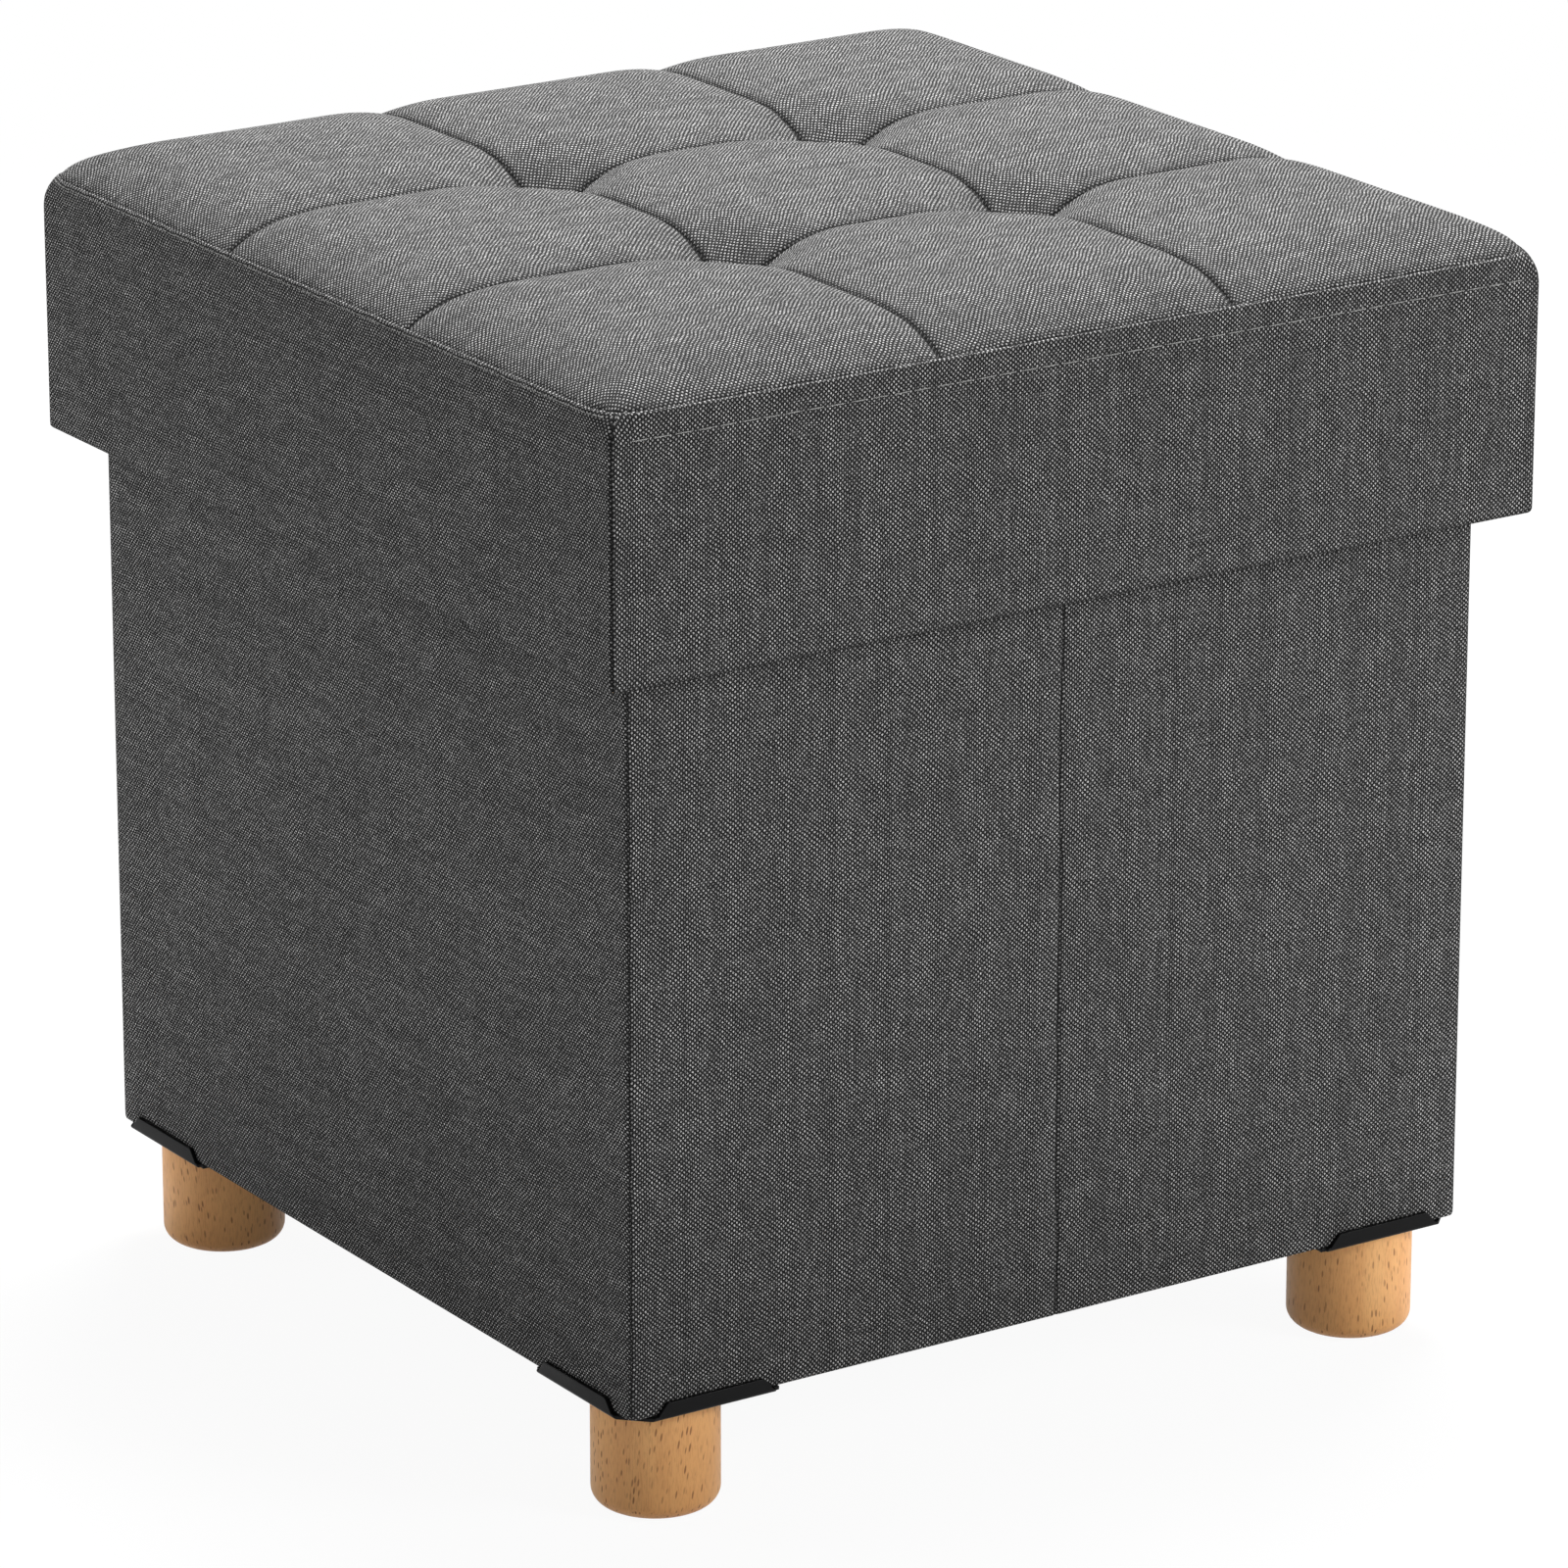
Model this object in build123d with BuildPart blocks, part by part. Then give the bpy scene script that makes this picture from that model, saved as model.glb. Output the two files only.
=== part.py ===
"""Storage ottoman with a lift-off tufted lid, a folding-board box and four turned legs.

Millimetres. +Z is up, the feet stand on Z = 0 and the Z axis runs through the middle of the box.
The plain walls face -Y (front) and +Y (rear); the walls with the fold crease face -X and +X.
"""
from build123d import *
from math import sqrt
import os

# ---------------------------------------------------------------- driving dimensions
# Sheet goods
cloth = 1.0                # upholstery cloth
lining = 0.6               # non-woven lining cloth
wall_board = 5.0           # boards in the walls of the box
skirt_board = 4.0          # boards in the skirt of the lid
lid_board_thickness = 5.0
base_board_thickness = 9.0
bracket_sheet = 1.5

# Box
box_side = 350.0           # outside of the cloth, both ways
box_height = 322.5         # bottom of the cloth to the rim
rim_hem = 30.0             # how far the cloth turns down inside the rim
fold_gap = 3.0             # space between the two boards of a folding wall
crease_width = 2.4         # groove in the cloth over that space
crease_depth = 0.7
base_gap = 0.5             # base board to lining, all round

# Lid
lid_room = 9.0             # skirt to the walls of the box, all round
lid_overlap = 59.0         # how far the skirt hangs below the rim
skirt_hem = 20.0           # how far the cloth turns up inside the skirt
foam_edge = 28.4           # foam height along the edge of the lid
soft_edge = 12.0           # foam above the skirt boards, below the top seam
crown = 14.0               # middle of the cushion above the top seam
crown_run = 56.0           # width of the round slope from the seam to the level top
shoulder_slope = 0.08      # slope where a level top starts to round over

# Tufting: four points, joined by sewn channels that run out to the edges
tuft_pitch = 120.0
tuft_depth = 28.0          # below the crown
tuft_mouth = 46.0          # side of a dimple at the crown
tuft_bottom = 8.0          # side of a dimple at its bottom
channel_depth = 7.0
channel_width = 30.0
tape_width = 5.0
tape_thickness = 1.0
tape_room = 0.3            # tape to foam and to board
anchor_side = 16.0         # plates under the lid board that hold the tapes
anchor_thickness = 1.5
anchor_room = 0.3          # recess around and below an anchor plate

# Legs
leg_height = 42.0
leg_radius = 22.4
leg_inset = 27.0           # axis of a leg from the outside of both walls
leg_foot_chamfer = 4.0

# Hanger bolts and tee nuts
bolt_radius = 4.0
bolt_depth = 26.0          # length inside the leg
bolt_end_room = 2.0        # bolt to the bottom of its bore
bolt_below_flange = 0.5    # bolt end to the top of the tee nut
thread_fit = 0.05          # radial, bolt in leg and bolt in tee nut
bolt_hole_room = 0.5       # radial, bolt to bracket and cloth
nut_wall = 1.0
nut_flange_side = 19.0
nut_flange = 1.5

# Corner brackets
bracket_side = 60.0        # plate, measured from the corner of the box
bracket_inner_clip = 16.0
lip_height = 6.0           # from the underside of the plate
lip_start = 9.0            # corner of the box to the foot of a lip
lip_end = 58.0
lip_slope = 5.0            # how far the ends of a lip lean in
lip_round = 2.0
bend_radius = 1.2          # outside of the bend at the foot of a lip

# ---------------------------------------------------------------- levels and fits
box_bottom = leg_height + bracket_sheet
rim = box_bottom + box_height
wall_thickness = cloth + wall_board + cloth
skirt_thickness = cloth + skirt_board + cloth
board_inside = box_side - 2 * (cloth + wall_board)

base_board_bottom = box_bottom + cloth
base_board_top = base_board_bottom + base_board_thickness
base_side = board_inside - 2 * (lining + base_gap)

lid_side = box_side + 2 * (lid_room + skirt_thickness)
lid_bottom = rim - lid_overlap
lid_board_bottom = rim + lining
lid_board_top = lid_board_bottom + lid_board_thickness
seam = lid_board_top + foam_edge + cloth
skirt_board_top = seam - soft_edge
skirt_inside = lid_side - 2 * (cloth + skirt_board)
crown_top = seam + crown

leg_pitch = box_side - 2 * leg_inset
bolt_hole_radius = bolt_radius + bolt_hole_room
nut_radius = bolt_radius + thread_fit + nut_wall
bolt_top = base_board_top - bolt_below_flange

UP = Vector(0, 0, 1)
INWARD = {
    "front": Vector(0, 1, 0),
    "rear": Vector(0, -1, 0),
    "left": Vector(1, 0, 0),
    "right": Vector(-1, 0, 0),
}
PLAIN_WALLS = ("front", "rear")
FOLDING_WALLS = ("left", "right")
CORNERS = {
    "front_left": (-1, -1),
    "front_right": (1, -1),
    "rear_right": (1, 1),
    "rear_left": (-1, 1),
}


def save(piece, name):
    """Label one piece and write it as its own STEP file."""
    piece.label = name
    export_step(piece, f"parts/{name}.step")


def wall_section(side, outside):
    """Plane across a wall: X points inward from its outside face, Y up, Z along the wall."""
    inward = INWARD[side]
    return Plane(origin=inward * (-outside / 2), x_dir=inward, z_dir=inward.cross(UP))


def corner_plane(corner, outside, height):
    """Plane on a corner of a square, with both X and Y running inward along its sides."""
    x, y = CORNERS[corner]
    along = Vector(-x, 0, 0) if x * y > 0 else Vector(0, -y, 0)
    return Plane(origin=(x * outside / 2, y * outside / 2, height), x_dir=along, z_dir=(0, 0, 1))


def strip(section, depth, levels, length):
    """Add a straight strip to the part being built: (from, to) inward, (from, to) up, length."""
    with BuildSketch(section) as outline:
        with Locations((depth[0], levels[0])):
            Rectangle(depth[1] - depth[0], levels[1] - levels[0], align=(Align.MIN, Align.MIN))
    extrude(outline.sketch, amount=length / 2, both=True)


os.makedirs("parts", exist_ok=True)

# ---------------------------------------------------------------- walls of the box
# The plain walls hold one board each, as wide as the cloth allows.
for side in PLAIN_WALLS:
    with BuildPart() as board:
        strip(
            wall_section(side, box_side),
            (cloth, cloth + wall_board),
            (base_board_bottom, rim - cloth),
            box_side - 2 * cloth,
        )
    save(board.part, f"{side}_board")

# A folding wall holds two boards, one each side of the crease, between the plain boards.
half_board = (board_inside - fold_gap) / 2
for side in FOLDING_WALLS:
    for end, direction in (("front", -1), ("rear", 1)):
        middle = direction * (fold_gap + half_board) / 2
        with BuildPart() as board:
            with BuildSketch(Plane.XY.offset(base_board_bottom)):
                with Locations(-INWARD[side] * (board_inside + wall_board) / 2 + Vector(0, middle)):
                    Rectangle(wall_board, half_board)
            extrude(amount=rim - cloth - base_board_bottom)
        save(board.part, f"{side}_{end}_board")

# Each cover is one panel of cloth: down the outside, over the rim and turned in below it.
# The plain covers run to the corners and the folding covers lie between them.
for side in PLAIN_WALLS + FOLDING_WALLS:
    section = wall_section(side, box_side)
    if side in PLAIN_WALLS:
        face_length = box_side
        fold_length = box_side - 2 * cloth
        hem_length = board_inside
    else:
        face_length = box_side - 2 * cloth
        fold_length = box_side - 2 * wall_thickness
        hem_length = fold_length
    with BuildPart() as cover:
        strip(section, (0, cloth), (box_bottom, rim), face_length)
        strip(section, (0, wall_thickness), (rim - cloth, rim), fold_length)
        strip(section, (wall_thickness - cloth, wall_thickness), (rim - rim_hem, rim), hem_length)
        if side in FOLDING_WALLS:
            # The crease: a shallow groove down the middle of the outside face.
            with BuildSketch(Plane.XY.offset(box_bottom)):
                with BuildLine():
                    outer = INWARD[side] * (-box_side / 2)
                    inner = outer + INWARD[side] * crease_depth
                    half = Vector(0, crease_width / 2)
                    Polyline(outer - half, inner, outer + half, close=True)
                make_face()
            extrude(amount=box_height, mode=Mode.SUBTRACT)
    save(cover.part, f"{side}_cover")

# The lining is a sleeve inside the boards, from the bottom cloth up to the turned-in hem.
with BuildPart() as box_lining:
    with BuildSketch(Plane.XY.offset(base_board_bottom)):
        Rectangle(board_inside, board_inside)
        Rectangle(board_inside - 2 * lining, board_inside - 2 * lining, mode=Mode.SUBTRACT)
    extrude(amount=rim - rim_hem - base_board_bottom)
save(box_lining.part, "box_lining")

# ---------------------------------------------------------------- bottom of the box
with BuildPart() as bottom_cloth:
    with BuildSketch(Plane.XY.offset(box_bottom)):
        Rectangle(box_side - 2 * cloth, box_side - 2 * cloth)
        with GridLocations(leg_pitch, leg_pitch, 2, 2):
            Circle(bolt_hole_radius, mode=Mode.SUBTRACT)
    extrude(amount=cloth)
save(bottom_cloth.part, "bottom_cloth")

with BuildPart() as base_board:
    with BuildSketch(Plane.XY.offset(base_board_bottom)):
        Rectangle(base_side, base_side)
    extrude(amount=base_board_thickness)
    with Locations(Plane.XY.offset(base_board_top)):
        with GridLocations(leg_pitch, leg_pitch, 2, 2):
            Hole(nut_radius)
    with BuildSketch(Plane.XY.offset(base_board_top)):
        with GridLocations(leg_pitch, leg_pitch, 2, 2):
            Rectangle(nut_flange_side, nut_flange_side)
    extrude(amount=-nut_flange, mode=Mode.SUBTRACT)
save(base_board.part, "base_board")

with BuildPart() as base_cover:
    with BuildSketch(Plane.XY.offset(base_board_top)):
        Rectangle(base_side, base_side)
    extrude(amount=lining)
save(base_cover.part, "base_cover")

# Tee nuts sit flush in the base board; their square flanges keep them from turning.
flange_bottom = base_board_top - nut_flange
with BuildPart() as tee_nuts:
    with BuildSketch(Plane.XY.offset(flange_bottom)):
        with GridLocations(leg_pitch, leg_pitch, 2, 2):
            Rectangle(nut_flange_side, nut_flange_side)
    extrude(amount=nut_flange)
    with BuildSketch(Plane.XY.offset(base_board_bottom)):
        with GridLocations(leg_pitch, leg_pitch, 2, 2):
            Circle(nut_radius)
    extrude(amount=flange_bottom - base_board_bottom)
    with Locations(Plane.XY.offset(base_board_top)):
        with GridLocations(leg_pitch, leg_pitch, 2, 2):
            Hole(bolt_radius + thread_fit)
save(tee_nuts.part, "tee_nuts")

# ---------------------------------------------------------------- corner brackets
# A folded plate under each corner: the plate carries the walls and the bolt goes through it.
# Its two lips stand up outside the cloth, and its corner is cut off square to the diagonal.
bolt_hole_at = (leg_inset, leg_inset)
for corner in CORNERS:
    with BuildPart() as bracket:
        with BuildSketch(corner_plane(corner, box_side, leg_height)) as plate:
            with BuildLine():
                Polyline(
                    (lip_start, -bracket_sheet),
                    (lip_end, -bracket_sheet),
                    (lip_end, 0),
                    (bracket_side, 0),
                    (bracket_side, bracket_side),
                    (0, bracket_side),
                    (0, lip_end),
                    (-bracket_sheet, lip_end),
                    (-bracket_sheet, lip_start),
                    close=True,
                )
            make_face()
            chamfer(plate.vertices().sort_by_distance((bracket_side, bracket_side))[0], bracket_inner_clip)
            with Locations(bolt_hole_at):
                Circle(bolt_hole_radius, mode=Mode.SUBTRACT)
        extrude(amount=bracket_sheet)
        # Both lips, as leaning-ended strips on the outside of the two walls.
        base = corner_plane(corner, box_side, leg_height)
        for across, along in ((base.y_dir, base.x_dir), (base.x_dir, base.y_dir)):
            lip_plane = Plane(origin=base.origin, x_dir=along, z_dir=along.cross(UP))
            with BuildSketch(lip_plane) as lip:
                with BuildLine():
                    Polyline(
                        (lip_start, 0),
                        (lip_end, 0),
                        (lip_end - lip_slope, lip_height),
                        (lip_start + lip_slope, lip_height),
                        close=True,
                    )
                make_face()
                fillet(lip.vertices().group_by(Axis.Y)[-1], lip_round)
            outward = 1 if lip_plane.z_dir.dot(across) < 0 else -1
            extrude(amount=outward * bracket_sheet)
            bend = bracket.edges().filter_by(lambda e: abs(e.length - (lip_end - lip_start)) < 1e-3)
            bend = bend.filter_by(lambda e: abs(e.center().Z - leg_height) < 1e-3)
            fillet(bend.sort_by(lambda e: e.center().dot(across))[0], bend_radius)
    save(bracket.part, f"{corner}_bracket")

# ---------------------------------------------------------------- legs and their bolts
for corner in CORNERS:
    foot = corner_plane(corner, leg_pitch, 0)
    with BuildPart() as leg:
        with BuildSketch(foot):
            Circle(leg_radius)
        extrude(amount=leg_height)
        chamfer(leg.edges().group_by(Axis.Z)[0], leg_foot_chamfer)
        with Locations(corner_plane(corner, leg_pitch, leg_height)):
            Hole(bolt_radius + thread_fit, depth=bolt_depth + bolt_end_room)
    save(leg.part, f"{corner}_leg")

    with BuildPart() as bolt:
        with BuildSketch(corner_plane(corner, leg_pitch, leg_height - bolt_depth)):
            Circle(bolt_radius)
        extrude(amount=bolt_top - leg_height + bolt_depth)
    save(bolt.part, f"{corner}_hanger_bolt")

# ---------------------------------------------------------------- frame of the lid
with BuildPart() as lid_board:
    with BuildSketch(Plane.XY.offset(lid_board_bottom)):
        Rectangle(skirt_inside, skirt_inside)
    extrude(amount=lid_board_thickness)
    with BuildSketch(Plane.XY.offset(lid_board_bottom)):
        with GridLocations(tuft_pitch, tuft_pitch, 2, 2):
            Rectangle(tape_width + 2 * tape_room, tape_thickness + 2 * tape_room)
    extrude(amount=lid_board_thickness, mode=Mode.SUBTRACT)
    with BuildSketch(Plane.XY.offset(lid_board_bottom)):
        with GridLocations(tuft_pitch, tuft_pitch, 2, 2):
            Rectangle(anchor_side + 2 * anchor_room, anchor_side + 2 * anchor_room)
    extrude(amount=anchor_thickness + anchor_room, mode=Mode.SUBTRACT)
save(lid_board.part, "lid_board")

# The skirt: four boards round the lid board, the side ones between the plain ones.
for side in PLAIN_WALLS + FOLDING_WALLS:
    section = wall_section(side, lid_side)
    if side in PLAIN_WALLS:
        board_length = lid_side - 2 * cloth
        face_length = lid_side
        fold_length = lid_side - 2 * cloth
        hem_length = skirt_inside
    else:
        board_length = skirt_inside
        face_length = lid_side - 2 * cloth
        fold_length = lid_side - 2 * skirt_thickness
        hem_length = fold_length
    with BuildPart() as skirt:
        strip(section, (cloth, cloth + skirt_board), (lid_bottom + cloth, skirt_board_top), board_length)
    save(skirt.part, f"lid_{side}_skirt_board")

    with BuildPart() as skirt_cover:
        strip(section, (0, cloth), (lid_bottom, seam - cloth), face_length)
        strip(section, (0, skirt_thickness), (lid_bottom, lid_bottom + cloth), fold_length)
        strip(
            section,
            (skirt_thickness - cloth, skirt_thickness),
            (lid_bottom, lid_bottom + skirt_hem),
            hem_length,
        )
    save(skirt_cover.part, f"lid_{side}_skirt_cover")

# The lining lies under the lid board and down the skirt boards to the turned-up hem.
with BuildPart() as lid_lining:
    with BuildSketch(Plane.XY.offset(lid_bottom + skirt_hem)):
        Rectangle(skirt_inside, skirt_inside)
    extrude(amount=lid_board_bottom - lid_bottom - skirt_hem)
    with BuildSketch(Plane.XY.offset(lid_bottom + skirt_hem)):
        Rectangle(skirt_inside - 2 * lining, skirt_inside - 2 * lining)
    extrude(amount=rim - lid_bottom - skirt_hem, mode=Mode.SUBTRACT)
save(lid_lining.part, "lid_lining")


# ---------------------------------------------------------------- tufted cushion
def tufted_form(side, base):
    """Block of a given side on the lid board, crowned and tufted above the level base."""
    edge = side / 2
    top = base + crown
    valley = (tuft_pitch / 2, top - channel_depth)
    near = (tuft_pitch / 2 - channel_width / 2, top)
    far = (tuft_pitch / 2 + channel_width / 2, top)
    shoulder = (edge - crown_run, top)
    with BuildPart() as form:
        # One profile each way; where they cross, the pads meet in sharp valleys and hips.
        for across, mode in ((Plane.XZ, Mode.ADD), (Plane.YZ, Mode.INTERSECT)):
            with BuildSketch(across.offset(-edge)):
                with BuildLine():
                    Line((0, top), near)
                    TangentArc(near, valley, tangent=(1, -shoulder_slope))
                    TangentArc(far, valley, tangent=(-1, -shoulder_slope))
                    Line(far, shoulder)
                    TangentArc(shoulder, (edge, base), tangent=(1, -shoulder_slope))
                    Polyline((edge, base), (edge, lid_board_top), (0, lid_board_top))
                    mirror(about=Plane.YZ)
                make_face()
            extrude(amount=side, mode=mode)
        # A four-sided dimple at each tuft, with its corners out along the channels.
        slant = (tuft_mouth - tuft_bottom) / 2
        with Locations(Plane.XY.offset(top)):
            with PolarLocations(tuft_pitch / sqrt(2), 4, start_angle=45):
                Wedge(
                    tuft_mouth,
                    tuft_depth,
                    tuft_mouth,
                    slant,
                    slant,
                    tuft_mouth - slant,
                    tuft_mouth - slant,
                    rotation=(-90, 0, 0),
                    align=(Align.CENTER, Align.MIN, Align.CENTER),
                    mode=Mode.SUBTRACT,
                )
    return form.part


foam_form = tufted_form(lid_side - 2 * cloth, seam - cloth)
cover_form = tufted_form(lid_side, seam)

# The foam stands on the lid board inside the skirt boards and widens above them.
with BuildPart() as lid_foam:
    add(foam_form)
    with BuildSketch(Plane.XY.offset(lid_board_top)):
        Rectangle(lid_side, lid_side)
        Rectangle(skirt_inside, skirt_inside, mode=Mode.SUBTRACT)
    extrude(amount=skirt_board_top - lid_board_top, mode=Mode.SUBTRACT)
    with BuildSketch(Plane.XY.offset(lid_board_top)):
        with GridLocations(tuft_pitch, tuft_pitch, 2, 2):
            Rectangle(tape_width + 2 * tape_room, tape_thickness + 2 * tape_room)
    extrude(amount=crown_top - lid_board_top, mode=Mode.SUBTRACT)
save(lid_foam.part, "lid_foam")

# The top cover is the cloth over the foam, down to the seam that joins it to the skirt.
with BuildPart() as lid_top_cover:
    add(cover_form)
    add(foam_form, mode=Mode.SUBTRACT)
    with BuildSketch(Plane.XY.offset(lid_board_top)):
        Rectangle(lid_side, lid_side)
        Rectangle(lid_side - 2 * cloth, lid_side - 2 * cloth, mode=Mode.SUBTRACT)
    extrude(amount=seam - cloth - lid_board_top, mode=Mode.SUBTRACT)
save(lid_top_cover.part, "lid_top_cover")

# A tape holds each tuft down, sewn to an anchor plate let into the underside of the lid board.
anchor_top = lid_board_bottom + anchor_room + anchor_thickness
tuft_level = crown_top - cloth - tuft_depth
with BuildPart() as tuft_tapes:
    with BuildSketch(Plane.XY.offset(anchor_top)):
        with GridLocations(tuft_pitch, tuft_pitch, 2, 2):
            Rectangle(tape_width, tape_thickness)
    extrude(amount=tuft_level - anchor_top)
save(tuft_tapes.part, "tuft_tapes")

with BuildPart() as tuft_anchors:
    with BuildSketch(Plane.XY.offset(anchor_top)):
        with GridLocations(tuft_pitch, tuft_pitch, 2, 2):
            Rectangle(anchor_side, anchor_side)
    extrude(amount=-anchor_thickness)
save(tuft_anchors.part, "tuft_anchors")
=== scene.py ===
# %% [markdown]
# # A storage ottoman, dressed over its CAD frame
#
# The CAD model gives this ottoman its sizes, its parts and the ways they move. This lesson gives it
# its looks: tweed-like cloth drawn tight over boards, a tufted cushion, turned beech legs and
# powder-coated steel corners. Each piece rides on the CAD body that carries it, so the lid still
# lifts off and each leg still unscrews.

# %% Load the frame
import bmesh
import bpy
from math import hypot, pi, radians, sqrt
from mathutils import Matrix, Vector, noise


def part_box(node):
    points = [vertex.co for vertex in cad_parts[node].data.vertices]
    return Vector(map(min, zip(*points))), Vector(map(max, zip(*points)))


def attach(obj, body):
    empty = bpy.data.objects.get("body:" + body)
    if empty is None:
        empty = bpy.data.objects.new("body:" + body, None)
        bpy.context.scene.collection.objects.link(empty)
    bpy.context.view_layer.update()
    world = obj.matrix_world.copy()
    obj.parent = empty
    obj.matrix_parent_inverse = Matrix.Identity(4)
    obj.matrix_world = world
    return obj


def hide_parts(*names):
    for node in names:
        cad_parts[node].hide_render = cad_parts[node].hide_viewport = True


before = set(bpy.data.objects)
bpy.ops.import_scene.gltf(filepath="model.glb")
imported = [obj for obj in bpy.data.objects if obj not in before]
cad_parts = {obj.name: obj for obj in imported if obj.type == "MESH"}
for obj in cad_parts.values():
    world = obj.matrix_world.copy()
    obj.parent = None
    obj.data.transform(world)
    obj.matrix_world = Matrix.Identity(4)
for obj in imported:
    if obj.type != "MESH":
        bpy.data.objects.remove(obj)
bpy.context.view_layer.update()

# %% [markdown]
# ## Sizes come from the frame
#
# Every level and width below is read from a CAD node's box, so the dressed pieces sit exactly where
# the boards and brackets are. Only cloth-sized details, such as how far an edge rounds over, are new.

# %% Read the levels
mm = 0.001
cloth = 1.0 * mm
box_low, box_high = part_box("front_cover")
box_half = box_high.x
box_bottom = box_low.z
rim = box_high.z
skirt_low, skirt_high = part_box("lid_front_skirt_cover")
lid_half = skirt_high.x
lid_bottom = skirt_low.z
seam = skirt_high.z + cloth
_, skirt_board_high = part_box("lid_front_skirt_board")
skirt_board_top = skirt_board_high.z
_, lid_board_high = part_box("lid_board")
lid_board_half = lid_board_high.x
lid_board_top = lid_board_high.z
_, top_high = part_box("lid_top_cover")
crown_top = top_high.z
anchor_half = 8 * mm
_, anchor_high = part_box("tuft_anchors")
tuft_at = anchor_high.x - anchor_half
print(f"box half {box_half:.4f}, lid half {lid_half:.4f}, tufts at {tuft_at:.4f}")
print(f"rim {rim:.4f}, lid bottom {lid_bottom:.4f}, seam {seam:.4f}, crown {crown_top:.4f}")

# %% [markdown]
# ## Shader maths as plain expressions
#
# A procedural cloth needs dozens of small sums: which yarn is on top here, how far along it are we,
# how light is this one. `Signal` wraps a node's output socket and overloads Python's operators, so a
# sum such as `1 - mask * 0.5` adds its Math nodes by itself. `Finish` holds the nodes of one material,
# or of the world, and places every other node with a single method, `add`.

# %% The Signal helper
class Signal:
    """An output socket that can be used in Python sums."""

    def __init__(self, finish, socket):
        self.finish = finish
        self.socket = socket

    def maths(self, operation, other=None):
        values = {0: self} if other is None else {0: self, 1: other}
        return self.finish.add("ShaderNodeMath", {"operation": operation}, values)

    def reflected(self, operation, first):
        return self.finish.add("ShaderNodeMath", {"operation": operation}, {0: first, 1: self})

    def __add__(self, other):
        return self.maths("ADD", other)

    def __radd__(self, other):
        return self.reflected("ADD", other)

    def __sub__(self, other):
        return self.maths("SUBTRACT", other)

    def __rsub__(self, other):
        return self.reflected("SUBTRACT", other)

    def __mul__(self, other):
        return self.maths("MULTIPLY", other)

    def __rmul__(self, other):
        return self.reflected("MULTIPLY", other)

    def __truediv__(self, other):
        return self.maths("DIVIDE", other)

    def __rtruediv__(self, other):
        return self.reflected("DIVIDE", other)

    def __pow__(self, other):
        return self.maths("POWER", other)

    def __rpow__(self, other):
        return self.reflected("POWER", other)

    def floor(self):
        return self.maths("FLOOR")

    def size(self):
        return self.maths("ABSOLUTE")

    def wrap(self, length):
        return self.maths("FLOORED_MODULO", length)

    def least(self, other):
        return self.maths("MINIMUM", other)

    def most(self, other):
        return self.maths("MAXIMUM", other)

    def ramp(self, start, end, low=0.0, high=1.0):
        """Smooth step: low before start, high after end."""
        settings = {"interpolation_type": "SMOOTHSTEP"}
        values = {"Value": self, "From Min": start, "From Max": end, "To Min": low, "To Max": high}
        return self.finish.add("ShaderNodeMapRange", settings, values)


print("Signal ready")

# %% The Finish helper
class Finish:
    """The nodes of one material or world, made one by one."""

    def __init__(self, owner):
        self.owner = owner
        owner.use_nodes = True
        self.tree = owner.node_tree
        self.tree.nodes.clear()

    def add(self, kind, settings=None, values=None, out=0):
        """Any node: its type, its settings, then the values or links of its sockets."""
        node = self.tree.nodes.new(kind)
        for key, setting in (settings or {}).items():
            setattr(node, key, setting)
        for key, value in (values or {}).items():
            if isinstance(value, Signal):
                self.tree.links.new(value.socket, node.inputs[key])
            else:
                node.inputs[key].default_value = value
        if node.outputs:
            return Signal(self, node.outputs[out])

    def outputs(self, signal):
        """All the outputs of a signal's node, by name."""
        return {output.name: Signal(self, output) for output in signal.socket.node.outputs}

    def split(self, vector):
        """The three numbers of a vector."""
        return self.outputs(self.add("ShaderNodeSeparateXYZ", {}, {0: vector})).values()

    def join(self, x, y, z=0.0):
        return self.add("ShaderNodeCombineXYZ", {}, {0: x, 1: y, 2: z})

    def place(self):
        """Object coordinates, in metres because every piece sits unturned at the origin."""
        return self.add("ShaderNodeTexCoord", out="Object")

    def cloth_place(self):
        """The UV map in metres that every cloth has."""
        return self.add("ShaderNodeUVMap", {"uv_map": "weave"})

    def rays(self, *kinds):
        """1 for rays of the named kinds, 0 for all others."""
        found = self.outputs(self.add("ShaderNodeLightPath"))
        total = found[kinds[0]]
        for kind in kinds[1:]:
            total = total.most(found[kind])
        return total

    def mix(self, amount, first, second):
        """Two colours mixed."""
        values = {0: amount, 6: first, 7: second}
        return self.add("ShaderNodeMix", {"data_type": "RGBA"}, values, out=2)

    def noise(self, vector, scale, detail=2.0, roughness=0.5, kind="3D"):
        values = {"Vector": vector, "Scale": scale, "Detail": detail, "Roughness": roughness}
        return self.add("ShaderNodeTexNoise", {"noise_dimensions": kind}, values)

    def dice(self, x, y):
        """A fixed random number for each whole x and y."""
        values = {"Vector": self.join(x, y)}
        return self.add("ShaderNodeTexWhiteNoise", {"noise_dimensions": "2D"}, values)

    def finish(self, height, depth, **sockets):
        """The principled shader, with its height as a bump, and the material that holds it."""
        names = {key.replace("_", " ").title().replace("Ior", "IOR"): sockets[key] for key in sockets}
        values = {"Height": height, "Distance": depth, "Strength": 1.0}
        names["Normal"] = self.add("ShaderNodeBump", {}, values)
        shader = self.add("ShaderNodeBsdfPrincipled", {}, names)
        self.add("ShaderNodeOutputMaterial", {}, {"Surface": shader})
        return self.owner


def new_material(name):
    return Finish(bpy.data.materials.new(name))


print("Finish ready")

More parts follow.
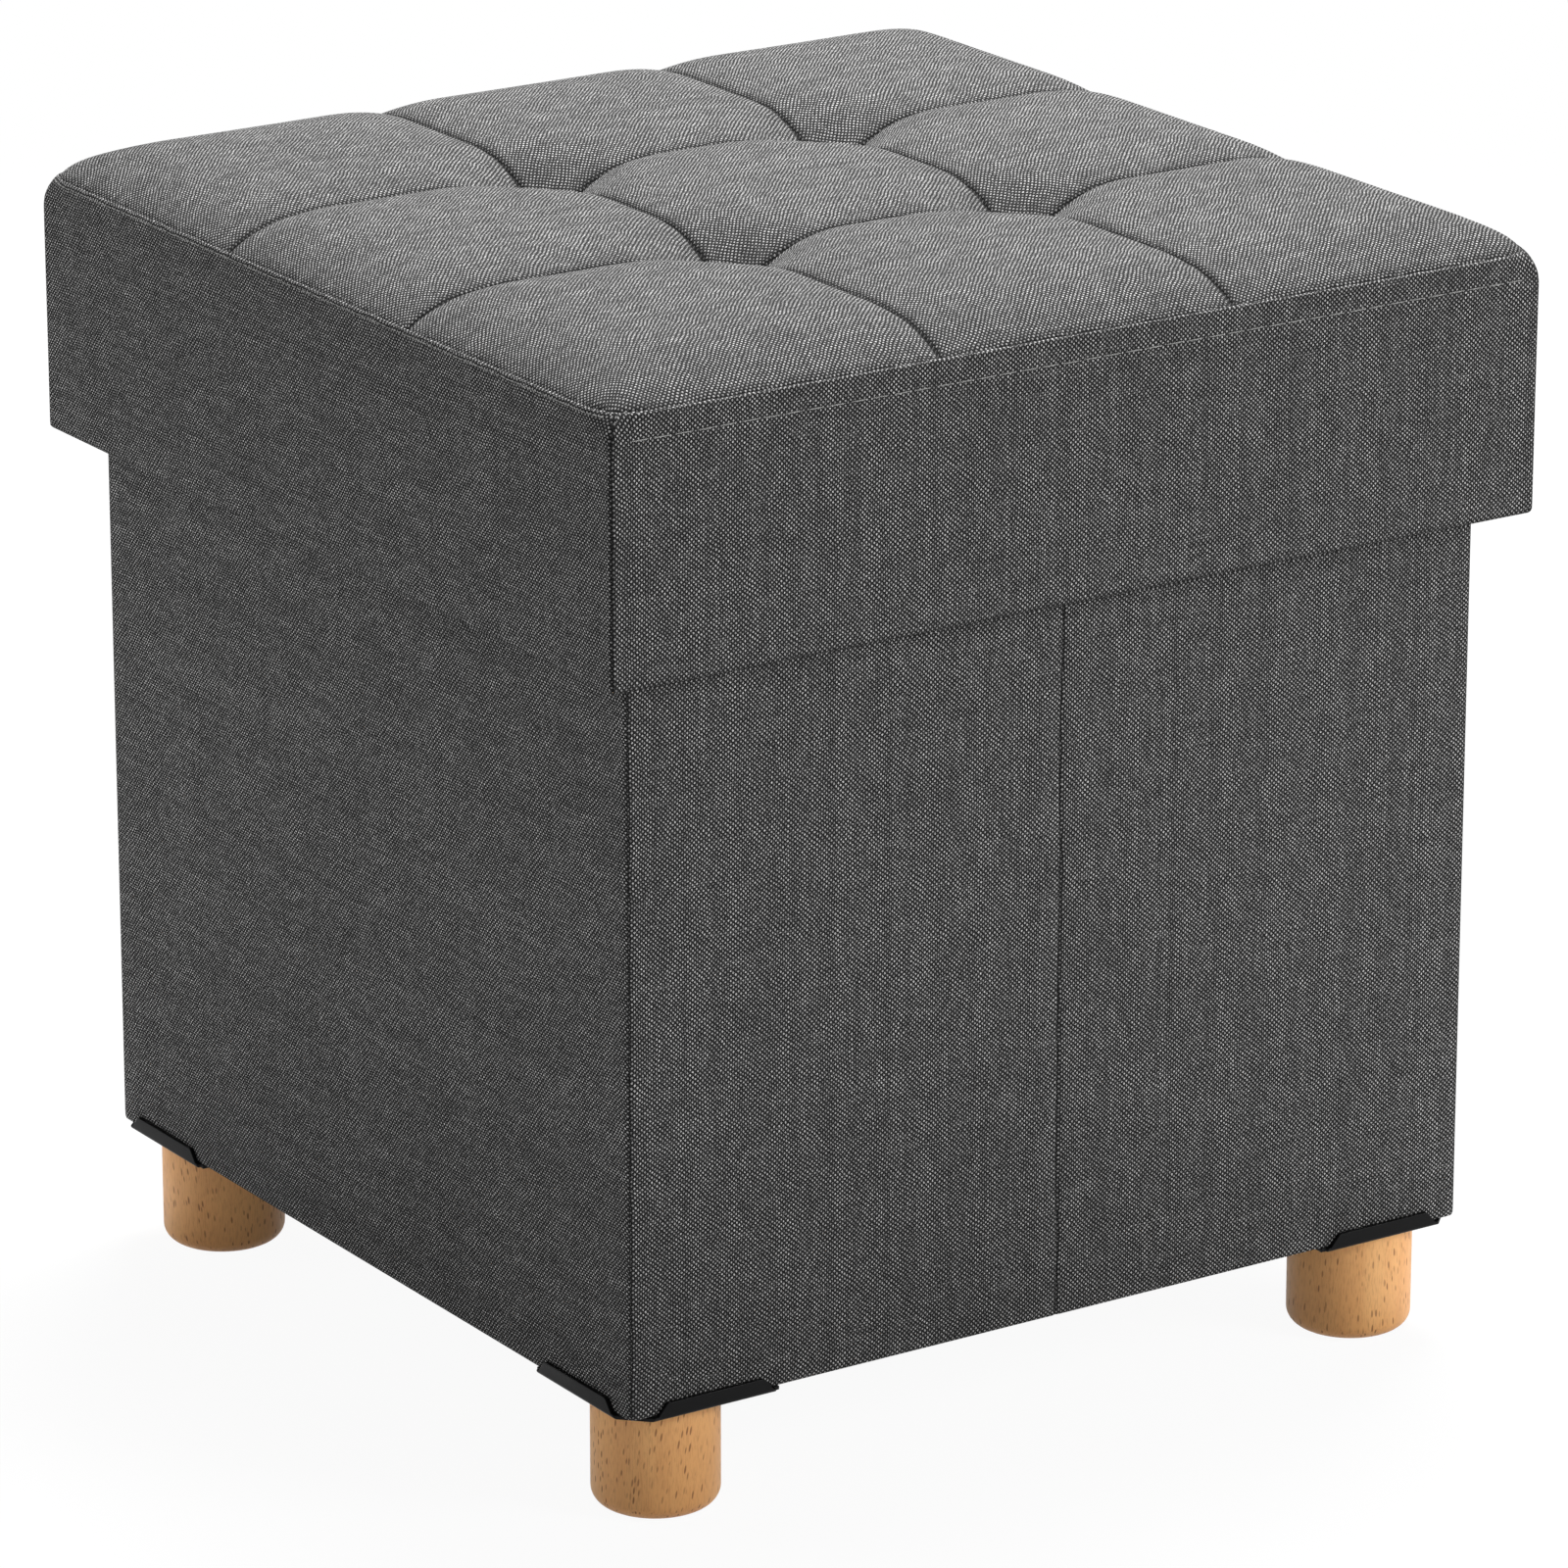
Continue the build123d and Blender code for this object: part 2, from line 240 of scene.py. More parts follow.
# %% [markdown]
# ## The upholstery weave
#
# The cloth is a plain weave of pale grey warp yarns and near-black weft yarns, which go over and under
# each other at every crossing. From a step away that reads as bright specks on a dark ground. Modelled
# yarns would need millions of points, so the weave is a material. It follows the cloth's own UV map,
# which is in metres, so one yarn is just under a millimetre wide on every panel. Each crossing gets its
# own lightness, some yarns are thicker for a stretch (slubs), and the whole cloth is a little uneven in
# patches. The bump stays shallow, because tall yarns sparkle when the cloth is seen from far away.

# %% The weave material
warp_pitch = 0.955 * mm
weft_pitch = 0.87 * mm
pale_yarn = (0.42, 0.42 * 0.99, 0.42 * 0.98, 1)
pale_weft = (0.21, 0.21, 0.21, 1)
dark_yarn = (0.006, 0.006, 0.006 * 1.03, 1)
seam_shadow = (0.003, 0.003, 0.003, 1)


def weave(name):
    """Plain weave of pale warp and dark weft on the cloth's UV map."""
    tweed = new_material(name)
    at = tweed.cloth_place()
    across, along, _ = tweed.split(at)
    # The yarns wander a little, so the lattice is never ruled.
    wander = 1.6
    drift_a = tweed.noise(at, 90, 2, kind="2D") - 0.5
    drift_b = tweed.noise(tweed.join(along, across), 110, 2, kind="2D") - 0.5
    u = across / warp_pitch + drift_a * wander
    v = along / weft_pitch + drift_b * wander
    column = u.floor()
    row = v.floor()
    across_yarn = u - column - 0.5
    along_yarn = v - row - 0.5
    warp_over = (column + row).wrap(2.0)
    # Each crossing is a small oval pad of the yarn that is on top.
    long_way = 2.0
    short_way = 2.55
    warp_oval = (across_yarn * short_way) ** 2 + (along_yarn * long_way) ** 2
    weft_oval = (across_yarn * long_way) ** 2 + (along_yarn * short_way) ** 2
    warp_pad = (1.25 - warp_oval).ramp(0.0, 0.95) * warp_over
    weft_pad = (1.25 - weft_oval).ramp(0.0, 0.95) * (1 - warp_over)
    # Lightness of the warp: by crossing, by yarn, by slub and by patch.
    speck = tweed.dice(column, row)
    yarn = tweed.dice(column, 7.5)
    slub_place = tweed.join(column * 0.37, v * 0.045)
    slub = tweed.noise(slub_place, 1.0, 1, kind="2D").ramp(0.58, 0.74)
    patch = tweed.noise(at, 120, 3, 0.55, kind="2D")
    shade = tweed.noise(at, 22, 2, 0.5, kind="2D")
    pale_here = (speck * 0.48 + 0.44) * (yarn * 0.35 + 0.80) + slub * 0.26
    pale_here = pale_here * (patch * 0.6 + 0.70) * (shade * 0.3 + 0.85)
    amount = (warp_pad * pale_here).least(1.0)
    # Lightness of the weft: it is dark, and streaked where a pale fibre is spun in.
    pick = tweed.dice(3.5, row)
    streak_place = tweed.join(u * 0.06, row * 0.37)
    streak = tweed.noise(streak_place, 1.0, 1, kind="2D").ramp(0.60, 0.76)
    under = weft_pad * (pick * 0.05 + speck * 0.06 + streak * 0.16)
    ground = tweed.mix(under.least(1.0), dark_yarn, pale_weft)
    colour = tweed.mix(amount, ground, pale_yarn)
    # Painted shade: a point attribute darkens the cloth in seams, the crease, the corners and the skirt's
    # lower fold, where shade falls.
    sewn_and_shade = tweed.add("ShaderNodeAttribute", {"attribute_name": "sewn_and_shade"}, out=2)
    colour = tweed.mix((sewn_and_shade * 0.92).least(1.0), colour, seam_shadow)
    return tweed.finish(
        base_color=colour,
        roughness=0.93 - amount * 0.12,
        specular_ior_level=0.25,
        height=warp_pad * 0.8 + weft_pad * 0.55 + slub * 0.2,
        depth=0.18 * mm,
    )


upholstery = weave("upholstery_weave")
print("weave:", round(warp_pitch * 1000, 3), "x", round(weft_pitch * 1000, 3), "mm")

# %% [markdown]
# ## Beech
#
# Beech is a warm, even wood whose short dark flecks give it away: they are pores and rays, lined up
# with the grain. Its pattern is a noise stretched along the leg, which runs through the wood as real
# grain does and so needs no unwrapping. Each leg gets its own material, turned by its own angle, so no
# two legs show the same face.

# %% The beech material
pale_beech = (0.84, 0.47, 0.180, 1)
deep_beech = (0.74, 0.365, 0.129, 1)
grain_line = (0.50, 0.215, 0.072, 1)
pore = (0.24, 0.085, 0.026, 1)


def beech(name, centre, turn):
    """Beech with upright grain, centred on one leg's axis and turned for variety."""
    wood = new_material(name)
    moved = {"Vector": wood.place(), "Location": (-centre[0], -centre[1], 0.0)}
    placed = wood.add("ShaderNodeMapping", {"vector_type": "POINT"}, moved)
    turned = {"Vector": placed, "Rotation": (0.03, 0.02, turn)}
    x, y, z = wood.split(wood.add("ShaderNodeMapping", {"vector_type": "POINT"}, turned))
    bands = wood.noise(wood.join(x, y * 0.25, z * 0.10), 130, 3, 0.55)
    grain = wood.noise(wood.join(x, y, z * 0.05), 900, 4, 0.6)
    fine = wood.noise(wood.join(x, y, z * 0.12), 2400, 2, 0.5)
    warmth = wood.noise(wood.join(x, y, z * 0.3), 35, 2, 0.5)
    # Pores: short dark dashes along the grain, in slanting rows, and only in some of the cells.
    slanted = wood.join(x + z * 0.10, y + z * 0.10, z * 0.22)
    cells = {"Vector": slanted, "Scale": 760.0, "Randomness": 0.9}
    distance = wood.add("ShaderNodeTexVoronoi", {"feature": "F1"}, cells)
    pick, _, _ = wood.split(wood.add("ShaderNodeTexVoronoi", {"feature": "F1"}, cells, out=1))
    rows_here = wood.noise(wood.join(x, y, z * 0.06), 240, 2, 0.5).ramp(0.38, 0.55)
    fleck = (0.34 - distance).ramp(0.0, 0.16) * pick.ramp(0.15, 0.45) * (rows_here * 0.7 + 0.3)
    tone = bands.ramp(0.30, 0.70) * 0.6 + grain * 0.35 + warmth * 0.25
    colour = wood.mix(tone.least(1.0), pale_beech, deep_beech)
    colour = wood.mix(fine.ramp(0.46, 0.66) * 0.36, colour, grain_line)
    colour = wood.mix(fleck * 0.85, colour, pore)
    return wood.finish(
        base_color=colour,
        roughness=0.42 + grain * 0.12 + fleck * 0.2,
        specular_ior_level=0.4,
        height=grain * 0.3 + fine * 0.1 - fleck * 0.7,
        depth=0.08 * mm,
    )


print("beech ready, one material a leg")

# %% [markdown]
# ## Steel, zinc, board, lining, thread and tape
#
# Powder coat is black with a faint orange-peel texture. Bolts and nuts are zinc plated, and a bolt's
# thread is a ridge every 1.25 mm. The boards are brown fibreboard, the lining is a dark non-woven cloth
# with small pressed dots, and the thread is a pale grey two-ply.

# %% The other materials
def powder_coat():
    """Satin black powder coat with a fine orange peel."""
    coat = new_material("black_powder_coat")
    at = coat.place()
    peel = coat.noise(at, 1400, 2)
    haze = coat.noise(at, 160, 2)
    worn = coat.noise(at, 420, 3, 0.7).ramp(0.58, 0.78)
    return coat.finish(
        base_color=coat.mix(worn * 0.35, (0.0035, 0.0035, 0.0038, 1), (0.009, 0.009, 0.0095, 1)),
        roughness=0.36 + haze * 0.10 + worn * 0.06,
        specular_ior_level=0.13,
        height=peel,
        depth=0.03 * mm,
    )


def zinc():
    """Bright zinc plating, slightly cloudy, with a thread's ridges round a bolt."""
    plate = new_material("zinc_plate")
    at = plate.place()
    cloud = plate.noise(at, 260, 3, 0.6)
    _, _, z = plate.split(at)
    thread_pitch = 1.25 * mm
    ridge = ((z / thread_pitch).wrap(1.0) - 0.5).size()
    return plate.finish(
        base_color=plate.mix(cloud, (0.60, 0.61, 0.62, 1), (0.42, 0.43, 0.45, 1)),
        metallic=1.0,
        roughness=0.28 + cloud * 0.2,
        height=ridge,
        depth=0.35 * mm,
    )


def fibreboard():
    """Brown board: pressed wood fibre with pale and dark flecks."""
    board = new_material("fibreboard")
    at = board.place()
    fibre = board.noise(at, 700, 4, 0.65)
    speck = board.noise(at, 2300, 2, 0.5).ramp(0.60, 0.74)
    colour = board.mix(fibre, (0.30, 0.185, 0.095, 1), (0.47, 0.32, 0.185, 1))
    colour = board.mix(speck * 0.5, colour, (0.12, 0.07, 0.035, 1))
    return board.finish(base_color=colour, roughness=0.86, height=fibre, depth=0.10 * mm)


def lining_cloth():
    """Dark non-woven lining with a lattice of small pressed dots."""
    felt = new_material("lining_cloth")
    at = felt.cloth_place()
    across, along, _ = felt.split(at)
    dot_across = 1.8 * mm
    dot_along = 1.5 * mm
    row = (along / dot_along).floor()
    u = (across / dot_across + row.wrap(2.0) * 0.5).wrap(1.0) - 0.5
    v = (along / dot_along).wrap(1.0) - 0.5
    dot = (0.09 - (u ** 2 + v ** 2)).ramp(0.0, 0.05)
    fibre = felt.noise(at, 900, 4, 0.7, kind="2D")
    colour = felt.mix(fibre, (0.075, 0.075, 0.080, 1), (0.170, 0.170, 0.178, 1))
    colour = felt.mix(dot * 0.6, colour, (0.045, 0.045, 0.048, 1))
    height = fibre * 0.4 - dot * 0.6
    return felt.finish(base_color=colour, roughness=0.88, height=height, depth=0.15 * mm)


def sewing_thread():
    """Grey sewing thread with a two-ply twist."""
    yarn = new_material("sewing_thread")
    at = yarn.place()
    x, y, z = yarn.split(at)
    ply = ((x + y + z * 1.6) / (0.45 * mm)).wrap(1.0)
    uneven = yarn.noise(at, 260, 2)
    colour = yarn.mix(uneven, (0.17, 0.17, 0.165, 1), (0.34, 0.34, 0.33, 1))
    return yarn.finish(base_color=colour, roughness=0.7, height=ply, depth=0.08 * mm)


def webbing():
    """Strong woven tape."""
    tape = new_material("woven_tape")
    at = tape.place()
    x, _, z = tape.split(at)
    rib = ((z + x * 0.6) / (0.8 * mm)).wrap(1.0)
    fuzz = tape.noise(at, 1500, 3)
    colour = tape.mix(rib * 0.6 + fuzz * 0.3, (0.05, 0.05, 0.05, 1), (0.12, 0.12, 0.12, 1))
    return tape.finish(base_color=colour, roughness=0.85, height=rib, depth=0.15 * mm)


black_coat = powder_coat()
zinc_plate = zinc()
board_finish = fibreboard()
lining_finish = lining_cloth()
thread = sewing_thread()
tape_finish = webbing()
print("materials:", len(bpy.data.materials))

# %% [markdown]
# ## Dressing the CAD parts that stay
#
# The boards, nuts, bolts, tapes and anchor plates already have the right shape, so they only get a
# material in their slots.

# %% Materials on the rigid CAD parts
def dress(names, material):
    """Give CAD nodes a finish by their material slots."""
    for name in names:
        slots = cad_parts[name].data.materials
        slots.clear()
        slots.append(material)
    print(f"{material.name}: on {len(names)} CAD nodes")


sides = ("front", "rear", "left", "right")
walls = ("front", "rear", "left_front", "left_rear", "right_front", "right_rear")
boards = [f"{wall}_board" for wall in walls] + ["base_board", "lid_board"]
boards += [f"lid_{side}_skirt_board" for side in sides]
corners = ("front_left", "front_right", "rear_right", "rear_left")
dress(boards, board_finish)
dress([f"{corner}_hanger_bolt" for corner in corners] + ["tee_nuts"], zinc_plate)
dress(["tuft_tapes"], tape_finish)
dress(["tuft_anchors"], black_coat)

# %% [markdown]
# ## A few mesh helpers
#
# Most of the cloth here is a square sleeve: a ring with soft corners that is drawn along a path of
# (inset, height) steps. `sleeve` starts with a four-point circle, rounds its corners, cuts it into
# short lengths and extrudes it step by step. `lay_weave` gives each face a UV in metres by the way
# it faces, as flat panels of cloth would lie. The yarns run upright on the two folding walls and
# across on the two plain ones, because those panels are cut the other way.

# %% Sleeves
def sign(value):
    return 1 if value > 0 else -1


def draw_on(bm, edges):
    """Extrude a loop of edges; returns the new points and the new loop."""
    made = bmesh.ops.extrude_edge_only(bm, edges=edges)["geom"]
    points = [item for item in made if isinstance(item, bmesh.types.BMVert)]
    loop = [item for item in made if isinstance(item, bmesh.types.BMEdge)]
    return points, loop


def ring(bm, half, corner, cuts, level):
    """A square loop of edges with soft corners; returns its edges."""
    turn = Matrix.Rotation(pi / 4, 4, "Z")
    bmesh.ops.create_circle(bm, segments=4, radius=half * sqrt(2), matrix=turn)
    bmesh.ops.bevel(
        bm,
        geom=bm.verts[:],
        offset=corner,
        segments=4,
        profile=0.5,
        affect="VERTICES",
        material=-1,
    )
    long_edges = [edge for edge in bm.edges if edge.calc_length() > half]
    bmesh.ops.subdivide_edges(bm, edges=long_edges, cuts=cuts, use_grid_fill=False)
    bmesh.ops.translate(bm, verts=bm.verts[:], vec=(0, 0, level))
    return bm.edges[:]


def sleeve(half, corner, cuts, path):
    """A sleeve along a path of (inset, height) steps, as a bmesh."""
    bm = bmesh.new()
    inset, level = path[0]
    edges = ring(bm, half, corner, cuts, level)
    if inset:
        shrink = (half - inset) / half
        bmesh.ops.scale(bm, vec=(shrink, shrink, 1), verts=bm.verts[:])
    for next_inset, next_level in path[1:]:
        points, edges = draw_on(bm, edges)
        shrink = (half - next_inset) / (half - inset)
        bmesh.ops.scale(bm, vec=(shrink, shrink, 1), verts=points)
        bmesh.ops.translate(bm, vec=(0, 0, next_level - level), verts=points)
        inset, level = next_inset, next_level
    bmesh.ops.recalc_face_normals(bm, faces=bm.faces[:])
    return bm


print("sleeve helpers ready")

# %% Cuts, UVs and finished pieces
level_shift = 1.7
folding_shift = 3.1
plain_shift = 5.3


def cut(bm, axis, place):
    """Cut every face that crosses a plane square to x (axis 0) or to y (axis 1)."""
    point = Vector((0, 0, 0))
    point[axis] = place
    normal = Vector((0, 0, 0))
    normal[axis] = 1
    geometry = bm.verts[:] + bm.edges[:] + bm.faces[:]
    bmesh.ops.bisect_plane(bm, geom=geometry, dist=1e-6, plane_co=point, plane_no=normal)


def lay_weave(bm):
    """UVs in metres by the way each face looks, each side from another part of the cloth."""
    layer = bm.loops.layers.uv.get("weave") or bm.loops.layers.uv.new("weave")
    bm.normal_update()
    for face in bm.faces:
        normal = face.normal
        steepest = max(abs(normal.x), abs(normal.y), abs(normal.z))
        for loop in face.loops:
            x, y, z = loop.vert.co
            if abs(normal.z) == steepest:
                loop[layer].uv = (x, y + level_shift)
            elif abs(normal.x) == steepest:
                loop[layer].uv = (y + folding_shift * sign(normal.x), z)
            else:
                loop[layer].uv = (z, x + plain_shift * sign(normal.y))


def make_piece(name, bm, material, body, stands_for=(), smooth=True):
    """Turn a bmesh into an object at the origin that rides on a body."""
    mesh = bpy.data.meshes.new(name)
    bm.to_mesh(mesh)
    bm.free()
    if smooth:
        mesh.shade_smooth()
    mesh.materials.append(material)
    piece = bpy.data.objects.new(name, mesh)
    bpy.context.scene.collection.objects.link(piece)
    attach(piece, body)
    if stands_for:
        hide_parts(*stands_for)
    print(f"{name}: {len(mesh.vertices)} points, {len(mesh.polygons)} faces")
    return piece


def near(value, target, reach):
    return abs(value - target) < reach


print("mesh helpers ready")

# %% [markdown]
# ## The box cover
#
# The real cover is four panels sewn at the corners. Four flat sheets could stand for them, but one
# sleeve has no gaps, and it is quick to draw: up the outside of the boards, over the rim and 29 mm down
# inside, where it is a hem. The two folding walls have a gap between their boards, and the cloth dips
# into it as a crease. A real cloth is never dead flat, so low waves are pressed into the outside. The
# crease and the corners' middle lines get painted shade from a point attribute, which the weave reads.

# %% Shape the box cover
cover_corner = 2.8 * mm
cover_thickness = 0.7 * mm
wave_depth = 0.35 * mm
box_cuts = 35
crease_cuts = (-9, -4, -1, 0, 1, 4, 9)


def soften(bm, half, scale, seed):
    """Press shallow waves into the outside faces of a sleeve."""
    corner_zone = 4 * mm
    for vert in bm.verts:
        x, y, _ = vert.co
        if max(abs(x), abs(y)) > half - 0.3 * mm:
            wave = noise.noise(vert.co * scale + Vector((seed, seed, seed))) * 0.5 - 0.5
            direction = Vector((x, y, 0)).normalized()
            if abs(x) > abs(y) + corner_zone:
                direction = Vector((sign(x), 0, 0))
            elif abs(y) > abs(x) + corner_zone:
                direction = Vector((0, sign(y), 0))
            vert.co += direction * wave * wave_depth


# The path's steps are (inset, height) in millimetres: a turned-in foot, the wall, and over the rim.
foot = [(1.0, 0.1), (0.35, 0.25), (0.05, 1.2), (0, 3)]
over_rim = [(0.15, -1.3), (0.7, -0.4), (1.6, 0), (5.4, 0), (6.4, -0.4), (6.9, -1.3)]
over_rim += [(7, -3), (7, -15), (7, -29)]
box_path = [(inset * mm, box_bottom + rise * mm) for inset, rise in foot]
wall_rows = 33
wall_run = rim - box_bottom - 5.5 * mm
for row in range(1, wall_rows + 1):
    box_path.append((0, box_bottom + 3 * mm + wall_run * row / wall_rows))
box_path += [(inset * mm, rim + rise * mm) for inset, rise in over_rim]
box_mesh = sleeve(box_half, cover_corner, box_cuts, box_path)
for place in crease_cuts:
    cut(box_mesh, 1, place * mm)
soften(box_mesh, box_half, scale=14, seed=3.0)
print("box cover:", len(box_path), "steps,", len(box_mesh.faces), "faces before its thickness")

# %% Fold the crease, paint shade into it and the corners, and make the piece
crease_depth = 0.75 * mm
crease_wander = 0.8 * mm
sewn_and_shade = box_mesh.verts.layers.float.new("sewn_and_shade")
for vert in box_mesh.verts:
    x, y, z = vert.co
    if abs(x) > box_half - 1 * mm and abs(y) < 2 * mm and z < rim - 1 * mm:
        wander = noise.noise(Vector((z * 22, 0, 4))) * crease_wander
        if abs(y) < 0.4 * mm:
            vert.co.x *= 1 - crease_depth / box_half
            # Painted shade along the crease's middle line.
            vert[sewn_and_shade] = 0.95
        vert.co.y += wander
    # Only the outer corner's middle line is as far out as this.
    if near(abs(vert.co.x), abs(vert.co.y), 0.1 * mm) and hypot(*vert.co.xy) > box_half * 1.39:
        # Painted shade on the corner's middle line.
        vert[sewn_and_shade] = 0.75
bmesh.ops.solidify(box_mesh, geom=box_mesh.faces[:], thickness=cover_thickness)
lay_weave(box_mesh)
covers = [f"{side}_cover" for side in sides]
make_piece("box_cover", box_mesh, upholstery, "box", covers)

# %% [markdown]
# ## The lid's corners
#
# Cloth pulled tight over the lid rounds off its four top corners: there the skirt, the cushion and the
# stitches all lie a few millimetres further in. One function moves the points of all three, so they
# stay together.

# %% Ease the top corners
corner_reach = 16 * mm
corner_drop = 11 * mm
corner_pull = 4.2 * mm


def ease_corners(bm):
    """Pull points near the lid's top corners inwards, as taut cloth lies there."""
    for vert in bm.verts:
        x, y, z = vert.co
        near_x = max(0.0, abs(x) - lid_half + corner_reach) / corner_reach
        near_y = max(0.0, abs(y) - lid_half + corner_reach) / corner_reach
        high = max(0.0, min(1.0, (z - seam + corner_drop) / corner_drop))
        pull = corner_pull * (near_x * near_y) ** 1.2 * high ** 2
        vert.co.x -= pull * sign(x)
        vert.co.y -= pull * sign(y)


print("corners eased over", corner_reach * 1000, "mm")

# %% [markdown]
# ## The lid's skirt
#
# The skirt is a deep band round the lid, made of four panels that meet in a sewn seam at each corner.
# It wraps under the skirt boards and turns up inside as a hem, so it is a sleeve like the box cover.
# Each corner's middle line gets painted shade and the lines beside it stand a little proud, which
# reads as a seam. The fold along the lower edge, where one layer of cloth tucks under, gets painted
# shade too, standing in for the shadow under the lid's edge.

# %% Shape the skirt
skirt_cuts = 76
# The steps are (inset, height) in millimetres: from under the cushion's edge to just below the seam.
lip = [(2.6, -2.4), (1.7, -0.5), (1.0, 0.15), (0.35, -0.2)]
lip += [(0.0, -drop) for drop in (1.3, 2.6, 4.2, 6.0, 8.0, 11.0)]
hem = [(0.2, 1.2), (0.8, 0.35), (1.8, 0.02), (4.4, 0.02), (5.4, 0.4), (5.9, 1.4)]
hem += [(6, 3), (6, 11), (6, 19.5)]
skirt_path = [(inset * mm, seam + rise * mm) for inset, rise in lip]
skirt_rows = 12
skirt_run = seam - lid_bottom - 13.5 * mm
for row in range(1, skirt_rows + 1):
    skirt_path.append((0, seam - 11.0 * mm - skirt_run * row / skirt_rows))
skirt_path += [(inset * mm, lid_bottom + rise * mm) for inset, rise in hem]
skirt_mesh = sleeve(lid_half, cover_corner, skirt_cuts, skirt_path)
soften(skirt_mesh, lid_half, scale=13, seed=8.0)
print("skirt:", len(skirt_path), "steps,", len(skirt_mesh.faces), "faces before its thickness")

# %% Paint shade into the skirt's seams and lower fold, and make the piece
seam_stand = 0.22 * mm
hem_shade_width = 5.5 * mm
sewn_and_shade = skirt_mesh.verts.layers.float.new("sewn_and_shade")
for vert in skirt_mesh.verts:
    apart = abs(abs(vert.co.x) - abs(vert.co.y))
    if hypot(*vert.co.xy) > lid_half * sqrt(2) - 3 * mm and apart < 2 * mm:
        if apart < 0.1 * mm:
            # Painted shade on the corner's middle line; the lines beside it stand proud.
            vert[sewn_and_shade] = 1.0
        else:
            vert.co.x *= 1 + seam_stand / lid_half
            vert.co.y *= 1 + seam_stand / lid_half
    # Painted shade along the lower fold, fading inwards, where the lid's edge casts its shadow.
    inset = lid_half - max(abs(vert.co.x), abs(vert.co.y))
    if vert.co.z < lid_bottom + 0.9 * mm and inset < 5 * mm:
        vert[sewn_and_shade] = max(vert[sewn_and_shade], 0.95 - inset / hem_shade_width)
    elif vert.co.z < lid_bottom + 1.5 * mm and inset < 2 * mm:
        vert[sewn_and_shade] = max(vert[sewn_and_shade], 0.45)
ease_corners(skirt_mesh)
bmesh.ops.solidify(skirt_mesh, geom=skirt_mesh.faces[:], thickness=cover_thickness)
lay_weave(skirt_mesh)
skirts = [f"lid_{side}_skirt_cover" for side in sides]
make_piece("lid_skirt", skirt_mesh, upholstery, "lid", skirts)

# %% [markdown]
# ## The tufted cushion
#
# The top is nine pads of cloth over one block of foam, sewn together along two lines each way and
# pulled down hard where the lines cross. It starts as a flat grid. Each point is lifted to the crown,
# with a round shoulder at the edges, a valley along each seam and a deep funnel at each tuft. A short
# cloth simulation then blows the pads up between their pinned seams, which gives the full, taut look
# that a formula alone misses. The seam itself is cut in afterwards, because it is narrower than the grid.

# %% Heights of the sewn top
crown = crown_top - seam
edge_run = 40 * mm
valley_depth = 4.2 * mm
valley_reach = 27 * mm
funnel_depth = 23.5 * mm
funnel_reach = 47 * mm
top_half = lid_half - 0.7 * mm
fade_in = 30 * mm


def shoulder(distance):
    """0 at the edge seam, 1 on the level top."""
    share = max(0.0, min(distance / edge_run, 1.0))
    return (1 - (1 - share) ** 2.1) ** 0.8


def valley(distance, reach, power):
    """1 on a seam, 0 beyond its reach, round as a pad's edge is."""
    share = min(abs(distance) / reach, 1.0)
    return (1 - share) ** power


def top_height(x, y):
    """Height of the sewn top above the edge seam."""
    side = max(0.01, shoulder(top_half - abs(x)))
    other = max(0.01, shoulder(top_half - abs(y)))
    # A soft minimum of the two keeps the corners full.
    rise = crown * (side ** -4 + other ** -4 - 1) ** -0.25
    inside = max(0.0, min(1.0, (top_half - max(abs(x), abs(y))) / fade_in))
    across = valley(abs(x) - tuft_at, valley_reach, 2.6)
    along = valley(abs(y) - tuft_at, valley_reach, 2.6)
    funnel = valley(hypot(abs(x) - tuft_at, abs(y) - tuft_at), funnel_reach, 2.4)
    sunk = valley_depth * max(across, along) + funnel_depth * funnel
    return rise - sunk * (0.35 + 0.65 * inside)


tuft_drop = -top_height(tuft_at, tuft_at)
print(f"crown {crown * 1000:.1f} mm over the seam, tufts {tuft_drop * 1000:.1f} mm under it")

# %% Lift the grid
grid_steps = 76
last = grid_steps // 2
grid_pitch = 2 * lid_half / grid_steps
tuck_in = 1 - 0.8 * mm / lid_half
cushion_mesh = bmesh.new()
bmesh.ops.create_grid(cushion_mesh, x_segments=grid_steps, y_segments=grid_steps, size=lid_half)
column_layer = cushion_mesh.verts.layers.int.new("column")
row_layer = cushion_mesh.verts.layers.int.new("row")
for vert in cushion_mesh.verts:
    vert[column_layer] = round(vert.co.x / grid_pitch)
    vert[row_layer] = round(vert.co.y / grid_pitch)
    vert.co.z = seam + top_height(vert.co.x, vert.co.y)
    vert.co.x *= tuck_in
    vert.co.y *= tuck_in
ease_corners(cushion_mesh)
tuft_column = round(tuft_at / grid_pitch)
print("grid pitch", round(grid_pitch * 1000, 2), "mm, seam column", tuft_column)

# %% Blow up the pads
def is_sewn(column, row):
    """Seams, tufts and the outer edge are sewn; the pads between them are free."""
    on_seam = tuft_column in (abs(column), abs(row))
    on_edge = max(abs(column), abs(row)) == last
    return on_seam or on_edge


